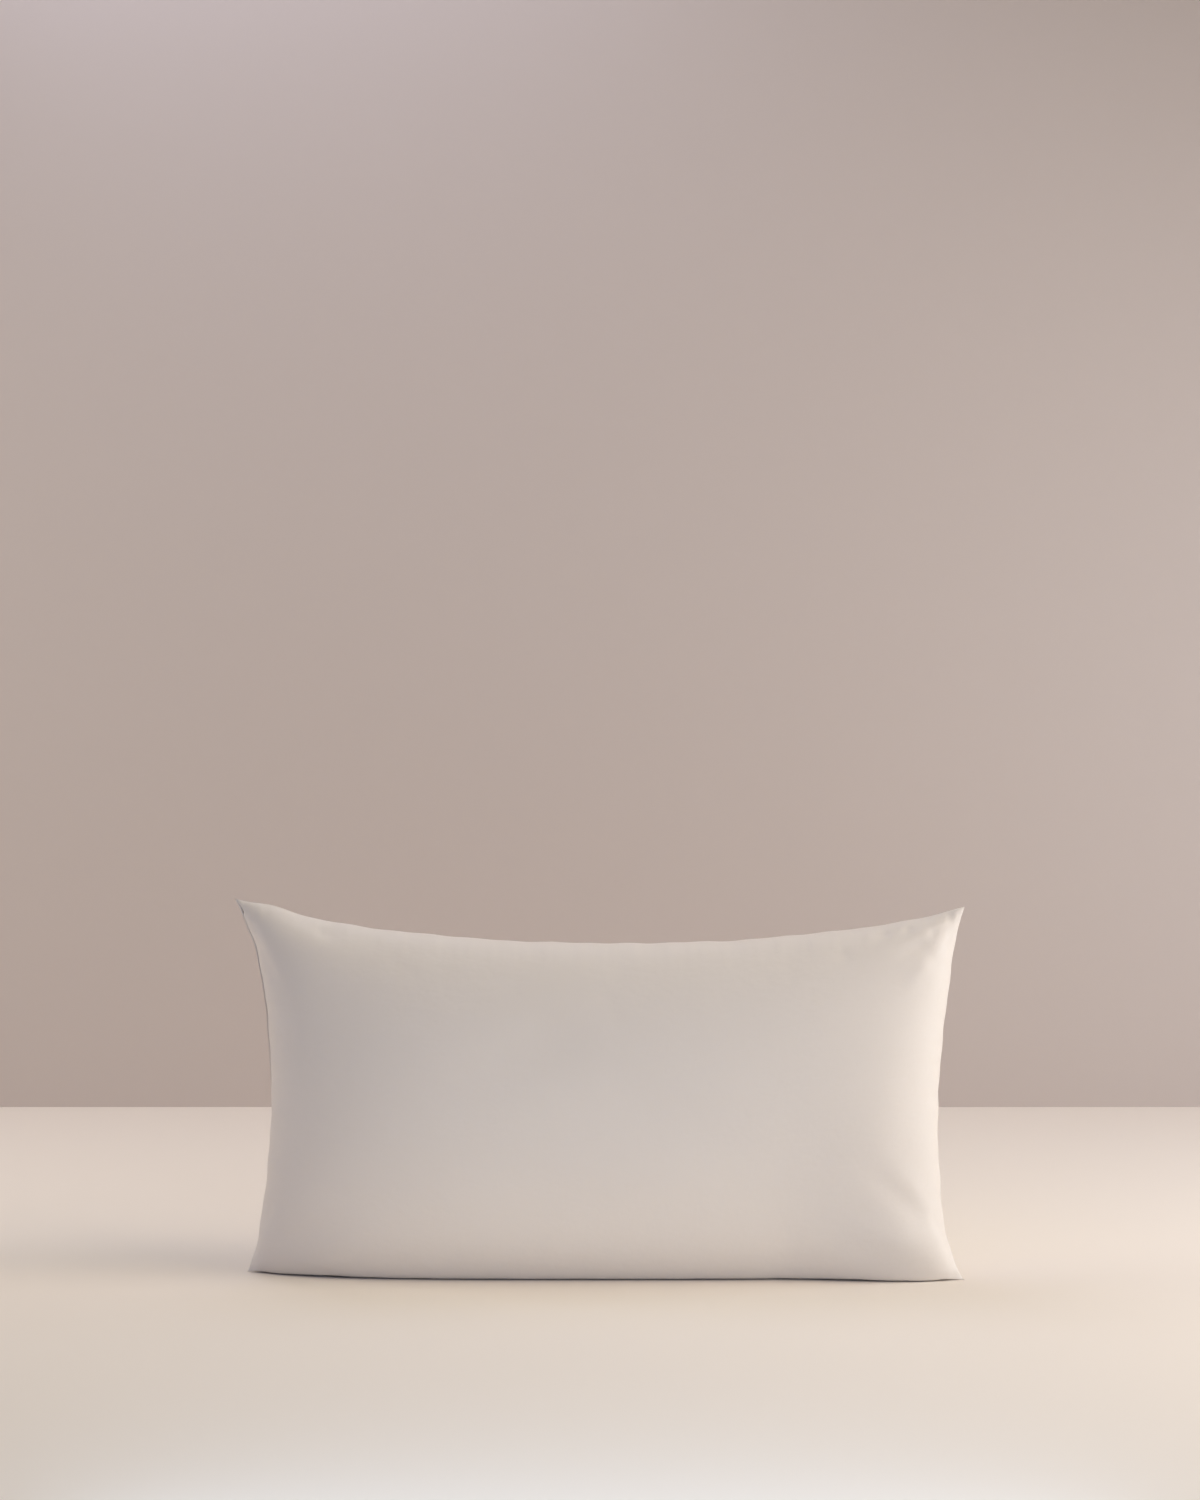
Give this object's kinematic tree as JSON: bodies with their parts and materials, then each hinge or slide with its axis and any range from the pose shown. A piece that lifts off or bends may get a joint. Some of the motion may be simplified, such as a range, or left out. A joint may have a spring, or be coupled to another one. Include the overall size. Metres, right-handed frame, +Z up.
{
  "type": "bed pillow",
  "caption": "King-size bed pillow in a smooth pillowcase with pointed corners and a tuck-in flap, over a piped, fibre-filled insert, standing on its long edge.",
  "frame": {"origin": "on the floor, under the middle of the pillow as it stands on its long edge: the bottom centre of its box", "axes": "+X along the length, from the open end (left, with the tuck-in flap) to the seamed end; +Y through the thickness, from the plain front to the back; +Z up"},
  "size_m": [0.868, 0.19, 0.446],
  "materials": {
    "case_cloth": "smooth ivory cotton sateen, satin-matt",
    "overlock_thread": "overlocked cotton edge in ivory thread",
    "label_tape": "blank white woven satin tape",
    "ticking_cloth": "white plain-weave cotton ticking",
    "piping_cloth": "bias-cut cotton piping, off-white",
    "piping_cord": "unbleached cotton cord",
    "fibre_wrap": "white needled polyester batt",
    "fibre_core": "white loose polyester fibre clusters"
  },
  "bodies": {
    "root": {"case_front_panel": "case_cloth", "case_back_panel": "case_cloth", "case_mouth_hem": "case_cloth", "case_tuck_flap": "case_cloth", "case_bottom_overlock": "overlock_thread", "case_end_overlock": "overlock_thread", "case_top_overlock": "overlock_thread", "case_care_label": "label_tape", "ticking_front_panel": "ticking_cloth", "ticking_back_panel": "ticking_cloth", "insert_piping_cover": "piping_cloth", "insert_piping_cord": "piping_cord", "insert_care_label": "label_tape", "fill_wrap_front": "fibre_wrap", "fill_wrap_back": "fibre_wrap", "fill_core": "fibre_core"}
  },
  "joints": []
}
